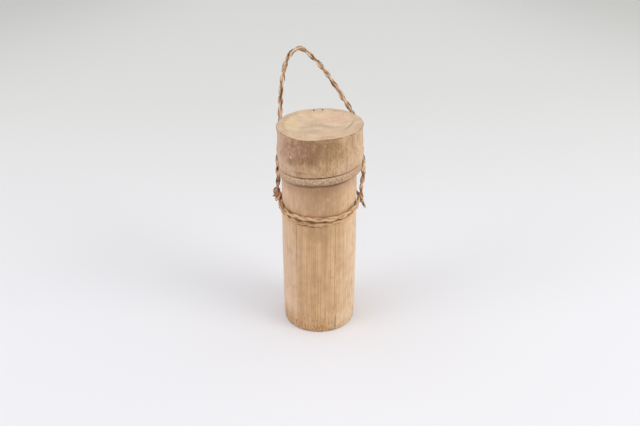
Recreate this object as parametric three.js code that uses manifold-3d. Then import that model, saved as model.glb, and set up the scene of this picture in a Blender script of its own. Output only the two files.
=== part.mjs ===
// Lidded bamboo canister with a twisted bark-fibre carrying sling.
// Millimetres, +Z up. The origin is the centre of the foot, and the front faces -Y.
import * as THREE from 'three';
import { mergeVertices } from 'three/addons/utils/BufferGeometryUtils.js';
import Module from 'manifold-3d';

// Driving dimensions of the culm
const tube_height = 241.5;
const tube_radius = 43.6;
const foot_radius = 43.0;
const neck_radius = 43.0;
const bore_radius = 34.6;
const foot_taper = 24;
const neck_taper_start = 128;
const neck_taper_end = 186;
const foot_recess = 3.6;
const floor_thickness = 4.2;
const septum_fillet = 3.2;
const cut_edge = 0.8;

// Driving dimensions of the lid
const lid_skirt = 46.2;
const lid_fit = 0.45;
const lid_wall = 4.45;
const lid_belly = 1.3;
const lid_belly_share = 0.65;
const lid_roof = 4.2;
const lid_rim = 8.7;
const lid_dish_depth = 4.5;
const lid_off_centre = 0.5;
const lid_top_slope = 0.03;
const lid_edge_slope = 0.09;
const collar_height = 10.8;
const collar_proud = 0.3;
const collar_lip = 1.35;
const groove_depth = 1.4;
const groove_height = 2.2;

// Driving dimensions of the sling
const cord_radius = 2.3;
const lay_gap = 0.3;
const ring_height = 154.9;
const ring_left_rise = 7.4;
const ring_left_end = 46;
const ring_right_rise = 6.2;
const ring_right_start = 96;
const ring_pass_step = 6.5;
const ring_tie_step = 5.5;
const ring_turns = 1.5;
const knot_radius = 4.1;
const knot_length = 10.6;
const knot_wraps = 3;
const hitch_radius = 4.2;
const hitch_length = 11.6;
const hitch_wraps = 3;
const wrap_depth = 0.6;
const tie_gap = 0.8;
const knot_y = 6.5;
const knot_height = 163.1;
const hitch_height = 158.7;
const tail_radius = 1.2;
const tail_drop = 6.8;
const tail_lean = 2.6;

// Facet counts
const round_steps = 64;
const cord_sides = 8;
const loop_sides = 6;
const loop_steps = 24;
const knot_sides = 14;
const handle_step = 10;
const gap_samples = 900;

const wasm = await Module();
wasm.setup();

// A geometry with its shared corners merged and its empty triangles dropped
function welded(geometry) {
  const bare = geometry.clone();
  bare.deleteAttribute('normal');
  bare.deleteAttribute('uv');
  const merged = mergeVertices(bare, 1e-4);
  const corners = merged.index.array;
  const kept = [];
  for (let i = 0; i < corners.length; i += 3) {
    const [a, b, c] = corners.slice(i, i + 3);
    if (a !== b && b !== c && c !== a) kept.push(a, b, c);
  }
  merged.setIndex(kept);
  merged.computeVertexNormals();
  return merged;
}

function toSolid(geometry) {
  const shape = welded(geometry);
  const vertProperties = new Float32Array(shape.attributes.position.array);
  const triVerts = new Uint32Array(shape.index.array);
  return new wasm.Manifold(new wasm.Mesh({ numProp: 3, vertProperties, triVerts }));
}

function fromSolid(solid) {
  const mesh = solid.getMesh();
  const geometry = new THREE.BufferGeometry();
  geometry.setAttribute('position', new THREE.BufferAttribute(mesh.vertProperties, 3));
  geometry.setIndex(new THREE.BufferAttribute(mesh.triVerts, 1));
  geometry.computeVertexNormals();
  return geometry;
}

// Turns a profile of [radius, height] points about the Z axis
function turned(profile, steps) {
  const points = profile.map(([r, z]) => new THREE.Vector2(r, z));
  return new THREE.LatheGeometry(points, steps).rotateX(Math.PI / 2);
}

// A round cord of constant thickness along a curve
function cordAlong(curve, radius, sides, steps) {
  const section = new THREE.Shape();
  for (let i = 0; i < sides; i++) {
    const angle = (i * 2 * Math.PI) / sides;
    const x = radius * Math.cos(angle);
    const y = radius * Math.sin(angle);
    if (i === 0) section.moveTo(x, y);
    else section.lineTo(x, y);
  }
  section.closePath();
  return new THREE.ExtrudeGeometry(section, { steps, extrudePath: curve, curveSegments: 1 });
}

function named(name, geometry, colour, roughness) {
  const material = new THREE.MeshStandardMaterial({ color: colour, roughness, metalness: 0 });
  const mesh = new THREE.Mesh(geometry, material);
  mesh.name = name;
  return mesh;
}

// The culm: one length of bamboo cut just under a node, whose septum is the floor
function makeTube() {
  const floor = foot_recess + floor_thickness;
  const taper_mid = (neck_taper_start + neck_taper_end) / 2;
  const profile = [
    [0, foot_recess],
    [bore_radius - 2 * septum_fillet, foot_recess],
    [bore_radius - septum_fillet / 2, foot_recess / 2],
    [bore_radius, 0],
    [foot_radius - cut_edge, 0],
    [foot_radius, cut_edge],
    [(foot_radius + tube_radius) / 2, foot_taper / 3],
    [tube_radius, foot_taper],
    [tube_radius, neck_taper_start],
    [(tube_radius + neck_radius) / 2, taper_mid],
    [neck_radius, neck_taper_end],
    [neck_radius, tube_height - cut_edge],
    [neck_radius - cut_edge, tube_height],
    [bore_radius + cut_edge, tube_height],
    [bore_radius, tube_height - cut_edge],
    [bore_radius, floor + septum_fillet],
    [bore_radius - septum_fillet / 3, floor + septum_fillet / 3],
    [bore_radius - septum_fillet, floor],
    [0, floor],
  ];
  return welded(turned(profile, round_steps));
}

// The lid: a wider length of bamboo upside down over the neck. The node's septum is its
// top, and the node's swollen collar is its lower edge, cut at a slant across X.
function makeLid() {
  const bore = neck_radius + lid_fit;
  const side = bore + lid_wall;
  const ceiling = tube_height + lay_gap;
  const dish_floor = ceiling + lid_roof;
  const top = dish_floor + lid_dish_depth;
  const edge = tube_height - lid_skirt;
  const groove = edge + collar_height;
  const lean = (z) => {
    const share = (z - edge) / (top - edge);
    return lid_edge_slope + (lid_top_slope - lid_edge_slope) * share;
  };
  const rows = [];
  const add = (r, z, slope, shift) => rows.push({ r, z, slope, shift });
  const outside = (r, z) => add(r, z, lean(z), lid_off_centre);
  add(0, ceiling, 0, 0);
  add(bore, ceiling, 0, 0);
  add(bore, edge + cut_edge, lean(edge), 0);
  add(bore + cut_edge, edge, lean(edge), 0);
  const collar_steps = 6;
  const collar_rise = collar_height - groove_height / 2;
  const collar_swell = side + collar_proud - bore - collar_lip;
  for (let i = 0; i <= collar_steps; i++) {
    const angle = (i * Math.PI) / (2 * collar_steps);
    const r = bore + collar_lip + collar_swell * Math.sin(angle);
    outside(r, edge + collar_rise * (1 - Math.cos(angle)));
  }
  outside(side - groove_depth, groove);
  const belly_start = groove + groove_height / 2;
  const belly_rise = lid_belly_share * (top - groove);
  const belly_steps = 5;
  for (let i = 0; i <= belly_steps; i++) {
    const share = i / belly_steps;
    outside(side + 4 * lid_belly * share * (1 - share), belly_start + belly_rise * share);
  }
  outside(side, top - cut_edge);
  outside(side - cut_edge, top);
  const dish = side - lid_rim;
  outside(dish, top);
  const dish_steps = 5;
  for (let i = 1; i <= dish_steps; i++) {
    const share = 1 - i / dish_steps;
    outside(dish * share, top - lid_dish_depth * (1 - share ** 4));
  }
  const geometry = turned(rows.map((row) => [row.r, row.z]), round_steps);
  const place = geometry.attributes.position;
  for (let i = 0; i < place.count; i++) {
    const row = rows[i % rows.length];
    place.setZ(i, place.getZ(i) + row.slope * place.getX(i));
    place.setX(i, place.getX(i) + row.shift);
  }
  return welded(geometry);
}

// Centre of the waist ring at an angle in degrees: 0 is the left, 90 the front and 180 the
// right. The first pass lies above the second, and both hang from the two ties.
function ringPoint(degrees) {
  const angle = THREE.MathUtils.degToRad(degrees);
  const place = degrees % 360;
  const back = THREE.MathUtils.smoothstep(place, 180, 360);
  const left = 1 - THREE.MathUtils.smoothstep(place, 0, ring_left_end) + back;
  const right = THREE.MathUtils.smoothstep(place, ring_right_start, 180) - back;
  const apart = Math.max(0, Math.sin(angle));
  const step = ring_tie_step + (ring_pass_step - ring_tie_step) * apart;
  const drop = step * THREE.MathUtils.smoothstep(degrees, 180, 360);
  const z = ring_height + ring_left_rise * left + ring_right_rise * right - drop;
  const reach = tube_radius + lay_gap + cord_radius;
  return new THREE.Vector3(-reach * Math.cos(angle), -reach * Math.sin(angle), z);
}

// The route of the waist ring, straight for one cord diameter at each end
const ring_steps = Math.round(ring_turns * loop_steps);
function ringCurve(overrun) {
  const points = [];
  for (let i = 0; i <= ring_steps; i++) {
    points.push(ringPoint((360 * i) / loop_steps));
  }
  const straight = (tip, inner) => {
    const reach = 2 * cord_radius + overrun;
    return tip.clone().add(tip.clone().sub(inner).setLength(reach));
  };
  points.unshift(straight(points[0], ringPoint(1)));
  points.push(straight(points.at(-1), ringPoint(360 * ring_turns - 1)));
  return new THREE.CatmullRomCurve3(points, false, 'centripetal');
}

function makeRing() {
  return welded(cordAlong(ringCurve(0), cord_radius, loop_sides, ring_steps));
}

// The least clear space between the two passes of the ring
function ringGap() {
  const points = ringCurve(0).getSpacedPoints(gap_samples);
  const half_turn = Math.floor(points.length / (2 * ring_turns));
  let least = Infinity;
  for (let i = 0; i < points.length; i++) {
    for (let j = i + half_turn; j < points.length; j++) {
      least = Math.min(least, points[i].distanceTo(points[j]));
    }
  }
  return least - 2 * cord_radius;
}

// A tie of wrapped cord, standing upright beside the tube, let in round the ring
function makeTie(centre, radius, length, wraps) {
  const profile = [[0, -length / 2]];
  const rows = 4 * wraps;
  for (let i = 0; i <= rows; i++) {
    const end = i === 0 || i === rows;
    const depth = end ? 2 * wrap_depth : wrap_depth * Math.cos((Math.PI * i) / 4) ** 2;
    profile.push([radius - depth, length * (i / rows - 0.5)]);
  }
  profile.push([0, length / 2]);
  const barrel = turned(profile, knot_sides).translate(centre.x, centre.y, centre.z);
  const socket_radius = cord_radius + lay_gap / Math.cos(Math.PI / loop_sides);
  const socket = cordAlong(ringCurve(lay_gap), socket_radius, loop_sides, ring_steps);
  return fromSolid(toSolid(barrel).subtract(toSolid(socket)));
}

const tie_reach = tube_radius + tie_gap + knot_radius;
const knot_centre = new THREE.Vector3(-tie_reach, knot_y, knot_height);
const hitch_centre = new THREE.Vector3(tie_reach, knot_y, hitch_height);
const legPivot = (centre, length) => {
  const z = centre.z + length / 2 + lay_gap + cord_radius;
  return new THREE.Vector3(centre.x, centre.y, z);
};
const left_pivot = legPivot(knot_centre, knot_length);
const right_pivot = legPivot(hitch_centre, hitch_length);

// The carrying loop stands up from the two ties and leans back past the lid. Its two ends
// are rounded about the line that it swings on.
function makeHandle() {
  const route = [
    [-47.9, 8.8, 176], [-47.8, 12.5, 182], [-47.7, 17.5, 187.5],
    [-47.6, 21.2, 193.5], [-47.4, 22.8, 200.5], [-46.7, 24.2, 209], [-46, 25.8, 218],
    [-45.4, 28.2, 227], [-45, 31, 235.5], [-44.8, 34.5, 244], [-44, 40, 259.5],
    [-43.1, 45.5, 273.5], [-41.1, 50.5, 287.5], [-37.7, 55.7, 301.3], [-31.3, 60, 312.5],
    [-22.2, 61.6, 317], [-13.6, 60.1, 313], [-3.4, 56.7, 304], [8.5, 53, 290.5],
    [18.8, 50, 276], [28.8, 45, 262], [37.4, 38.6, 248.8], [43.5, 31.8, 235.5],
    [48, 25.2, 218], [50.7, 19, 202], [51, 14, 189], [50.2, 9.8, 177.5],
  ];
  const points = route.map(([x, y, z]) => new THREE.Vector3(x, y, z));
  const curve = new THREE.CatmullRomCurve3([left_pivot, ...points, right_pivot], false, 'centripetal');
  const steps = Math.round(curve.getLength() / handle_step);
  let solid = toSolid(cordAlong(curve, cord_radius, cord_sides, steps));
  for (const pivot of [left_pivot, right_pivot]) {
    const ball = new THREE.SphereGeometry(cord_radius, cord_sides, cord_sides);
    solid = solid.add(toSolid(ball.translate(pivot.x, pivot.y, pivot.z)));
  }
  return fromSolid(solid);
}

// The loose end of the cord, hanging clear of the hitch
function makeTail() {
  const out = hitch_centre.x + hitch_radius / 2;
  const under = hitch_centre.z - hitch_length / 2 - lay_gap - tail_radius / 2;
  const start = new THREE.Vector3(out, knot_y - tail_radius, under);
  const bend = new THREE.Vector3(out + tail_lean / 3, start.y, under - tail_drop / 2);
  const end = new THREE.Vector3(out + tail_lean, start.y - tail_lean, under - tail_drop);
  const curve = new THREE.QuadraticBezierCurve3(start, bend, end);
  return welded(cordAlong(curve, tail_radius, cord_sides, 4));
}

const canister = new THREE.Group();
canister.add(named('tube', makeTube(), 0xc4a077, 0.6));
canister.add(named('lid', makeLid(), 0xb8946f, 0.65));

const knot = makeTie(knot_centre, knot_radius, knot_length, knot_wraps);
const hitch = makeTie(hitch_centre, hitch_radius, hitch_length, hitch_wraps);
const sling = new THREE.Group();
sling.add(named('waist_ring', makeRing(), 0xb58a5c, 0.8));
sling.add(named('left_knot', knot, 0x9c6b45, 0.8));
sling.add(named('right_hitch', hitch, 0x9a754e, 0.8));
sling.add(named('hitch_tail', makeTail(), 0x8a6a52, 0.85));
sling.add(named('carrying_loop', makeHandle(), 0xb48a5e, 0.8));
canister.add(sling);

console.log(`waist_ring: least gap between its passes ${ringGap().toFixed(2)} mm`);

export default canister;
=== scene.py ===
import math
import random

import bpy
import numpy as np
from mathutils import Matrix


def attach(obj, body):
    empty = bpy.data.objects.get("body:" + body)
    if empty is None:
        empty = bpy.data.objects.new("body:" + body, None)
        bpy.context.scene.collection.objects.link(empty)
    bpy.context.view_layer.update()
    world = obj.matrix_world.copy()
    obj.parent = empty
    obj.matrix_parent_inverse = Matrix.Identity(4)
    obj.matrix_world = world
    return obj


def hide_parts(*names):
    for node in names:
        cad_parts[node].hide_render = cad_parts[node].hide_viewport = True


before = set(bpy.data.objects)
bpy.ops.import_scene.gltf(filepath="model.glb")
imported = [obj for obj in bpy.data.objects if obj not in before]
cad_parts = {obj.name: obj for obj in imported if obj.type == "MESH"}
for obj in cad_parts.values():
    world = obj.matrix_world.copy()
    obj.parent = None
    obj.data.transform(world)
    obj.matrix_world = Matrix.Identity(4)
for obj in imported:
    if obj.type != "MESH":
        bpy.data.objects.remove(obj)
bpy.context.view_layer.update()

# Camera
# A long lens stands 0.82 m in front of the canister and 0.58 m up, looking down at it.
camera_data = bpy.data.cameras.new("camera")
camera_data.sensor_width = 36
camera_data.lens = 45
camera = bpy.data.objects.new("camera", camera_data)
camera.location = (0.001, -0.822, 0.579)
camera.rotation_euler = (math.radians(90 - 28.16), 0, 0)
bpy.context.scene.collection.objects.link(camera)
bpy.context.scene.camera = camera
bpy.context.scene.view_settings.view_transform = "Standard"

# Carrying loop
# Two plies of split bark, twisted together into a stiff cord of 4.6 mm. It rises from the
# two ties, leans on the back of the lid and arches over it.
cord_thickness = 0.0046
cord_lay = 0.0245
cord_step = 0.0006
strand_step = 0.0005
loop_route = [
    (-0.0479, 0.0065, 0.171), (-0.0473, 0.0088, 0.176), (-0.0473, 0.0125, 0.182),
    (-0.0477, 0.0175, 0.1875), (-0.0476, 0.0212, 0.1935), (-0.0474, 0.0228, 0.2005),
    (-0.0464, 0.0242, 0.209), (-0.045, 0.026, 0.218), (-0.0443, 0.0284, 0.227),
    (-0.0444, 0.0311, 0.2355), (-0.0447, 0.0345, 0.244), (-0.044, 0.04, 0.2595),
    (-0.0431, 0.0455, 0.2735), (-0.0411, 0.0505, 0.2875), (-0.0377, 0.0557, 0.3013),
    (-0.0313, 0.06, 0.3125), (-0.0222, 0.0616, 0.317), (-0.0136, 0.0601, 0.313),
    (-0.0034, 0.0567, 0.304), (0.0085, 0.053, 0.2905), (0.0188, 0.05, 0.276),
    (0.0288, 0.045, 0.262), (0.0374, 0.0386, 0.2488), (0.0435, 0.0318, 0.2355),
    (0.0475, 0.0252, 0.218), (0.05, 0.019, 0.202), (0.051, 0.014, 0.189),
    (0.0502, 0.0098, 0.1775), (0.0485, 0.0065, 0.1671),
]


def smooth_route(corners, step):
    """A smooth line through the corners, with a point every step along it."""
    corners = [np.array(c, float) for c in corners]
    first = 2 * corners[0] - corners[1]
    last = 2 * corners[-1] - corners[-2]
    corners = [first] + corners + [last]
    line = []
    for p0, p1, p2, p3 in zip(corners, corners[1:], corners[2:], corners[3:]):
        t1 = np.linalg.norm(p1 - p0) ** 0.5
        t2 = t1 + np.linalg.norm(p2 - p1) ** 0.5
        t3 = t2 + np.linalg.norm(p3 - p2) ** 0.5
        for t in np.linspace(t1, t2, 24, endpoint=False):
            a1 = (p0 * (t1 - t) + p1 * t) / t1
            a2 = (p1 * (t2 - t) + p2 * (t - t1)) / (t2 - t1)
            a3 = (p2 * (t3 - t) + p3 * (t - t2)) / (t3 - t2)
            b1 = (a1 * (t2 - t) + a2 * t) / t2
            b2 = (a2 * (t3 - t) + a3 * (t - t1)) / (t3 - t1)
            line.append((b1 * (t2 - t) + b2 * (t - t1)) / (t2 - t1))
    line.append(corners[-2])
    line = np.array(line)
    along = np.concatenate([[0], np.cumsum(np.linalg.norm(np.diff(line, axis=0), axis=1))])
    count = max(3, round(along[-1] / step))
    wanted = np.linspace(0, along[-1], count + 1)
    return np.stack([np.interp(wanted, along, line[:, i]) for i in range(3)], axis=1)


def side_vectors(line):
    """Two vectors square to the line at each point, carried along it without a twist."""
    ahead = np.gradient(line, axis=0)
    ahead /= np.linalg.norm(ahead, axis=1)[:, None]
    start = np.cross(ahead[0], (0.3, 1.0, 0.2))
    side = [start / np.linalg.norm(start)]
    for direction in ahead[1:]:
        carried = side[-1] - direction * np.dot(direction, side[-1])
        side.append(carried / np.linalg.norm(carried))
    side = np.array(side)
    return side, np.cross(ahead, side)


def uneven(along, length, seed):
    """A smooth hand-made unevenness from -1 to 1 that changes over the given length."""
    draw = random.Random(seed)
    total = 0
    for waves, weight in ((1, 0.5), (2.3, 0.3), (5.1, 0.2)):
        turn = 2 * math.pi * along * waves / length
        total = total + weight * np.sin(turn + draw.uniform(0, 2 * math.pi))
    return total


def twist_about(line, side, up, offset, lay, count, seed, turn=0.0):
    """The lines of count plies twisted about a line, each with its own two side vectors."""
    along = np.arange(len(line)) * np.linalg.norm(line[1] - line[0])
    plies = []
    for ply in range(count):
        angle = turn + 2 * math.pi * (ply / count + along / lay)
        angle = (angle + 0.3 * uneven(along, 3 * abs(lay), seed))[:, None]
        out = np.cos(angle) * side + np.sin(angle) * up
        across = -np.sin(angle) * side + np.cos(angle) * up
        off = offset * (1 + 0.12 * uneven(along, 1.7 * abs(lay), seed + ply + 1))
        plies.append((line + off[:, None] * out, out, across))
    return plies


def girth_along(line, first, last, run=0.006):
    """How much of its thickness a strand keeps along its line, less towards its ends."""
    along = np.arange(len(line)) * np.linalg.norm(line[1] - line[0])
    from_first = (1 - first) * np.clip(1 - along / run, 0, 1) ** 2
    from_last = (1 - last) * np.clip(1 - (along[-1] - along) / run, 0, 1) ** 2
    return 1 - from_first - from_last


def strip(line, out, across, deep, wide, seed, tone, girth=1.0, sides=8):
    """One strip of bark along a line: its points, faces, straightened places and tones."""
    along = np.arange(len(line)) * np.linalg.norm(line[1] - line[0])
    swell = girth * (1 + 0.16 * uneven(along, 0.017, seed))
    theta = np.linspace(0, 2 * math.pi, sides, endpoint=False)[None, :]
    folds = swell[:, None] * (1 + 0.09 * np.cos(3 * theta + 700 * along[:, None] + seed))
    points = (
        line[:, None, :]
        + (deep * folds * np.cos(theta))[..., None] * out[:, None, :]
        + (wide * folds * np.sin(theta))[..., None] * across[:, None, :]
    )
    straight = np.stack([
        wide * np.cos(theta) + 0.013 * seed + 0 * along[:, None],
        wide * np.sin(theta) + 0 * along[:, None],
        along[:, None] + 0 * theta,
    ], axis=-1)
    tones = (tone + 0.25 * uneven(along, 0.031, seed + 3))[:, None] + 0 * theta
    count = len(line)
    faces = []
    for i in range(count - 1):
        for j in range(sides):
            a, b = i * sides + j, i * sides + (j + 1) % sides
            faces.append((a, b, b + sides, a + sides))
    faces.append(tuple(reversed(range(sides))))
    faces.append(tuple((count - 1) * sides + j for j in range(sides)))
    return points.reshape(-1, 3), faces, straight.reshape(-1, 3), tones.ravel()


def twisted_cord(line, thickness, lay, seed, tones, turn=0.0, girth=1.0, shade=0.0):
    """Two plies twisted together, each of four bark strips twisted the other way."""
    side, up = side_vectors(line)
    ply_offset, strip_offset = 0.23 * thickness * girth, 0.19 * thickness * girth
    strip_depth, strip_width = 0.16 * thickness, 0.2 * thickness
    strip_lay = -0.62 * lay
    parts = []
    plies = twist_about(line, side, up, ply_offset, lay, 2, seed, turn)
    for ply, (centre, out, across) in enumerate(plies):
        strips = twist_about(centre, out, across, strip_offset, strip_lay, 4, seed + 7 * ply)
        for number, (middle, face, edge) in enumerate(strips):
            tone = tones[(4 * ply + number) % len(tones)] + shade
            own = seed + 10 * ply + number
            parts.append(strip(middle, face, edge, strip_depth, strip_width, own, tone, girth))
    return joined(parts)


def bark_strand(corners, thickness, seed, tones, ends=(1, 1), strips=4, lay=0.016, run=0.006):
    """One loosely twisted strand of a few bark strips through the corners."""
    line = smooth_route(corners, strand_step)
    side, up = side_vectors(line)
    girth = girth_along(line, *ends, run)
    offset, deep, wide = 0.24 * thickness * girth, 0.25 * thickness, 0.31 * thickness
    parts = []
    for number, (middle, face, edge) in enumerate(
        twist_about(line, side, up, offset, lay, strips, seed)
    ):
        tone = tones[number % len(tones)]
        parts.append(strip(middle, face, edge, deep, wide, seed + number, tone, girth))
    return joined(parts)


def joined(parts):
    """Several sets of points, faces, straightened places and tones as one."""
    points, faces, straight, tones = [], [], [], []
    base = 0
    for part in parts:
        points.append(part[0])
        faces += [tuple(base + corner for corner in face) for face in part[1]]
        straight.append(part[2])
        tones.append(part[3])
        base += len(part[0])
    return np.concatenate(points), faces, np.concatenate(straight), np.concatenate(tones)


def split_ends(line, thickness, count, seed):
    """Short split fibres that stand off a cord."""
    draw = random.Random(seed)
    side, up = side_vectors(line)
    ahead = np.gradient(line, axis=0)
    ahead /= np.linalg.norm(ahead, axis=1)[:, None]
    parts = []
    for i in range(count):
        at = draw.randrange(20, len(line) - 20)
        angle = draw.uniform(0, 2 * math.pi)
        out = math.cos(angle) * side[at] + math.sin(angle) * up[at]
        root = line[at] + 0.4 * thickness * out
        length = draw.uniform(0.002, 0.005)
        along = ahead[at] * draw.choice((-1, 1))
        bow = 0.3 * length * out
        half_way = root + 0.5 * length * along + 0.6 * bow
        fibre = smooth_route([root, half_way, root + length * along + bow], cord_step)
        wide = draw.uniform(0.0002, 0.0004)
        girth = girth_along(fibre, 1, 0.2, length)
        tone = draw.random()
        parts.append(strip(fibre, *side_vectors(fibre), wide, wide, seed + i, tone, girth, 5))
    return joined(parts)


def placed(name, mesh):
    """The mesh as an object in the scene."""
    made = bpy.data.objects.new(name, mesh)
    bpy.context.scene.collection.objects.link(made)
    return made


def bark_piece(name, shape, material):
    """A piece of cord made of the given points and faces."""
    points, faces, straight, tones = shape
    mesh = bpy.data.meshes.new(name)
    mesh.from_pydata(points.tolist(), [], faces)
    place = mesh.attributes.new("straight", "FLOAT_VECTOR", "POINT")
    place.data.foreach_set("vector", straight.astype(np.float32).ravel())
    tone = mesh.attributes.new("tone", "FLOAT", "POINT")
    tone.data.foreach_set("value", tones.astype(np.float32))
    mesh.shade_smooth()
    mesh.materials.append(material)
    return placed(name, mesh)


def paint(code):
    """The node colour of a hex paint code."""
    parts = [int(code[i:i + 2], 16) / 255 for i in (0, 2, 4)]
    return [p / 12.92 if p <= 0.04045 else ((p + 0.055) / 1.055) ** 2.4 for p in parts] + [1]


def put(tree, kind, inputs=(), **settings):
    """A new shader node, with its inputs linked or set."""
    made = tree.nodes.new("ShaderNode" + kind)
    for key, value in settings.items():
        setattr(made, key, value)
    for key, value in dict(inputs).items():
        if isinstance(value, bpy.types.NodeSocket):
            tree.links.new(value, made.inputs[key])
        else:
            made.inputs[key].default_value = value
    return made


def new_finish(name, roughness):
    """A new material, its tree and its shader."""
    material = bpy.data.materials.new(name)
    material.use_nodes = True
    tree = material.node_tree
    shader = tree.nodes["Principled BSDF"]
    shader.inputs["Roughness"].default_value = roughness
    return material, tree, shader


def mark(tree, name):
    """The value that the mesh carries under a name."""
    return put(tree, "Attribute", attribute_name=name).outputs["Fac"]


def grain(tree, place, scale, detail=3, shift=0):
    """Noise that is stretched by three scales, per metre."""
    sized = put(tree, "Mapping", {"Vector": place, "Scale": scale, "Location": (shift,) * 3})
    noise = put(tree, "TexNoise", {
        "Vector": sized.outputs[0], "Scale": 1.0, "Detail": detail, "Roughness": 0.6,
    })
    return noise.outputs["Fac"]


def stretch(tree, value, low, high, bottom=0.0, top=1.0):
    """A value that goes smoothly from bottom at low to top at high."""
    spread = put(tree, "MapRange", {
        "Value": value, "From Min": low, "From Max": high, "To Min": bottom, "To Max": top,
    }, interpolation_type="SMOOTHSTEP")
    return spread.outputs[0]


def calc(tree, operation, a, b=0.0):
    return put(tree, "Math", {0: a, 1: b}, operation=operation).outputs[0]


def plus(tree, a, b):
    return calc(tree, "ADD", a, b)


def times(tree, a, b):
    return calc(tree, "MULTIPLY", a, b)


def swing(tree, noise, amount):
    """A noise as an unevenness to both sides of nothing."""
    return times(tree, calc(tree, "SUBTRACT", noise, 0.5), amount)


def tint(tree, share, under, over):
    """The colour over laid on the colour under, where share is 1."""
    return put(tree, "Mix", {0: share, 6: under, 7: over}, data_type="RGBA").outputs[2]


def laid(tree, colour, value, low, high, top, code):
    """A colour with a paint on it, from nothing where value is low to top where it is high."""
    return tint(tree, stretch(tree, value, low, high, 0, top), colour, paint(code))


def coats(tree, colour, table):
    """A colour with a paint laid on it for each row of the table."""
    for value, low, high, top, code in table:
        colour = laid(tree, colour, value, low, high, top, code)
    return colour


def dress(tree, shader, colour, height, distance):
    """Gives the surface its colour, and raises it where height is high."""
    bump = put(tree, "Bump", {"Height": height, "Distance": distance})
    tree.links.new(bump.outputs[0], shader.inputs["Normal"])
    tree.links.new(colour, shader.inputs["Base Color"])


def bark_finish(name, light, middle, dark):
    """Dry twisted bark: strips of several tones, each with fibres along it."""
    material, tree, shader = new_finish(name, 0.7)
    place = put(tree, "Attribute", attribute_name="straight").outputs["Vector"]
    tone = mark(tree, "tone")
    fibres = grain(tree, place, (1500, 1500, 130), 4)
    fine = grain(tree, place, (4200, 4200, 160), 2, shift=7)
    mixed = plus(tree, tone, swing(tree, fibres, 1.9))
    colour = coats(tree, paint(dark), (
        (mixed, 0.1, 0.5, 1, middle),
        (mixed, 0.5, 0.95, 1, light),
        (fine, 0.46, 0.3, 0.7, dark),
    ))
    dress(tree, shader, colour, plus(tree, fibres, fine), 0.0003)
    return material


def level_at(value, pairs):
    """The level at a value, read off pairs of a value and a level."""
    values, levels = zip(*pairs)
    return np.interp(value, values, levels)


straw_bark = bark_finish("straw_bark", "e6c9a7", "b78862", "4f3525")

loop_tones = (0.9, 0.7, 0.55, 0.12, 0.75, 0.5, 0.85, 0.2)
loop_foot = np.array((0, 0, 0.0022))
loop_ends = [np.array(loop_route[0]) - loop_foot, np.array(loop_route[-1]) - loop_foot]
loop_line = smooth_route([loop_ends[0]] + loop_route + [loop_ends[1]], cord_step)
along_loop = np.arange(len(loop_line)) * cord_step
loop_line += 0.0002 * np.stack([uneven(along_loop, 0.02, 40 + i) for i in range(3)], axis=1)
loop_girth = girth_along(loop_line, 0.6, 0.6, 0.012)
loop_shade = level_at(along_loop, (
    (0.004, -0.2), (0.008, -0.3), (0.013, 0.25), (0.017, 0.15), (0.022, -0.15), (0.026, 0.2),
    (0.031, 0.05), (0.035, -0.6), (0.04, -0.5), (0.05, 0), (0.27, 0), (0.31, 0.1),
    (0.318, 0.05), (0.327, 0.5), (0.332, 0.2), (0.336, -0.45), (0.343, 0.15), (0.35, 0.35),
))
loop_turn = math.pi * level_at(along_loop, (
    (0.03, 0.49), (0.09, 0), (0.13, 0), (0.17, -0.55), (0.2, -0.8), (0.245, -1.3),
    (0.26, -1.3), (0.325, -1.62), (0.347, -1.3),
))
loop_thickness = 1.08 * cord_thickness
loop_shape = joined([
    twisted_cord(
        loop_line, loop_thickness, cord_lay, 3, loop_tones, loop_turn, loop_girth, loop_shade,
    ),
    split_ends(loop_line, cord_thickness, 44, 5),
])
loop = bark_piece("loop_cord", loop_shape, straw_bark)
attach(loop, "loop")
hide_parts("carrying_loop")

# Waist ring
# The same cord, wound one and a half times round the tube and drawn tight under the lid.
# Its two passes hang side by side at the front and climb to the two ties.
culm_radius = 0.0436
ring_height = 0.1549
ring_left_rise = 0.0074
ring_right_rise = 0.0062
ring_pass_step = 0.0065
ring_tie_step = 0.0055
ring_right_tuck = 0.0037
ring_left_sag = 0.0018
ring_slack = 0.0003
ring_tie_bite = 0.0008
ring_thickness = 0.0047
ring_lay = 0.029


def ease(value, low, high):
    share = min(max((value - low) / (high - low), 0), 1)
    return share * share * (3 - 2 * share)


def ring_point(degrees):
    """The middle of the cord, from 0 at the left by the front to 180 at the right."""
    angle = math.radians(degrees)
    place = degrees % 360
    back = ease(place, 180, 360)
    left = 1 - ease(place, 0, 46) + back
    right = ease(place, 108, 186) - back
    step = ring_tie_step + (ring_pass_step - ring_tie_step) * max(0, math.sin(angle))
    drop = step * ease(degrees, 180, 360) - ring_right_tuck * ease(degrees, 440, 520)
    drop += ring_left_sag * (1 - ease(degrees, 0, 50))
    reach = culm_radius + ring_slack + cord_thickness / 2 - ring_tie_bite * math.cos(angle) ** 8
    height = ring_height + ring_left_rise * left + ring_right_rise * right - drop
    return np.array((-reach * math.cos(angle), -reach * math.sin(angle), height))


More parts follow.
